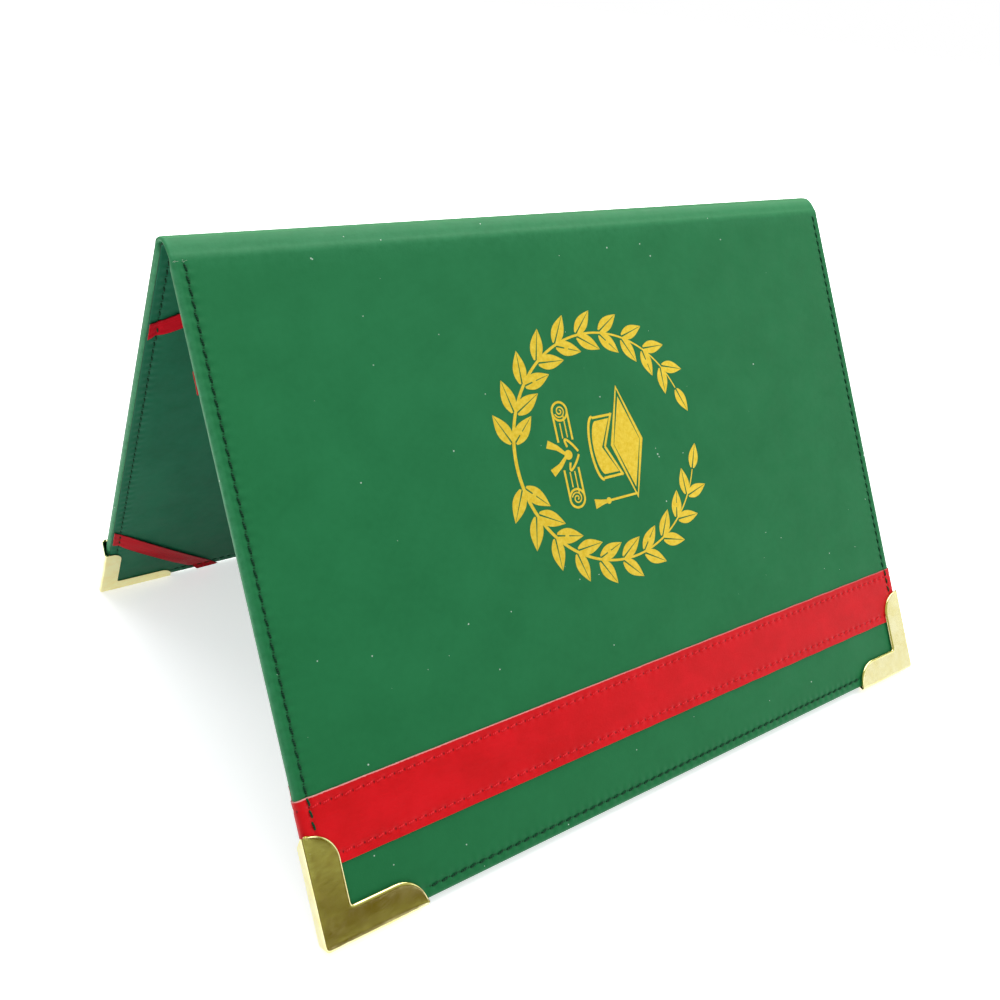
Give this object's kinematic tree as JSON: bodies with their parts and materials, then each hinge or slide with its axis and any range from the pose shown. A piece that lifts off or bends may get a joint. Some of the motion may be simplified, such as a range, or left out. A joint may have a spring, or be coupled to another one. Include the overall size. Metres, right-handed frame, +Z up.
{
  "type": "diploma cover",
  "caption": "Green leatherette diploma cover with brass corners, a sewn red stripe and corner ribbons inside, standing open like a tent.",
  "frame": {"origin": "middle of the footprint, on the surface that the cover stands on", "axes": "+Z up, X along the spine, the front cover faces -Y"},
  "size_m": [0.3128, 0.2402, 0.1973],
  "materials": {
    "outer_leatherette": "matt green leatherette with a fine grain",
    "inner_leatherette": "matt dark green leatherette",
    "red_leatherette": "smooth red leatherette",
    "board": "grey board",
    "green_thread": "twisted thread",
    "red_thread": "twisted thread",
    "brass": "polished",
    "satin_ribbon": "satin weave",
    "gold_foil": "hot stamped foil"
  },
  "bodies": {
    "spine": {"spine_skin": "outer_leatherette", "spine_lining": "inner_leatherette"},
    "front_cover": {"front_board": "board", "front_cover_skin": "outer_leatherette", "front_lining": "inner_leatherette", "front_fore_seam": "green_thread", "front_left_seam": "green_thread", "front_left_corner": "brass", "front_left_fore_ribbon": "satin_ribbon", "front_left_fold_ribbon": "satin_ribbon", "front_right_seam": "green_thread", "front_right_corner": "brass", "front_right_fore_ribbon": "satin_ribbon", "front_right_fold_ribbon": "satin_ribbon", "front_stripe": "red_leatherette", "stripe_lower_seam": "red_thread", "stripe_upper_seam": "red_thread", "foil_wreath": "gold_foil", "foil_cap": "gold_foil", "foil_cap_band": "gold_foil", "foil_scroll": "gold_foil"},
    "back_cover": {"back_board": "board", "back_cover_skin": "outer_leatherette", "back_lining": "inner_leatherette", "back_fore_seam": "green_thread", "back_left_seam": "green_thread", "back_left_corner": "brass", "back_left_fore_ribbon": "satin_ribbon", "back_left_fold_ribbon": "satin_ribbon", "back_right_seam": "green_thread", "back_right_corner": "brass", "back_right_fore_ribbon": "satin_ribbon", "back_right_fold_ribbon": "satin_ribbon"}
  },
  "joints": [
    {"name": "front_fold", "type": "hinge", "parent": "spine", "child": "front_cover", "pos_m": [0, -0.0037, 0.19464], "axis": [1, 0, 0], "range_deg": [-46.5, 43.4]},
    {"name": "back_fold", "type": "hinge", "parent": "spine", "child": "back_cover", "pos_m": [0, 0.00841, 0.19731], "axis": [-1, 0, 0], "range_deg": [-72.8, 17.1]}
  ]
}
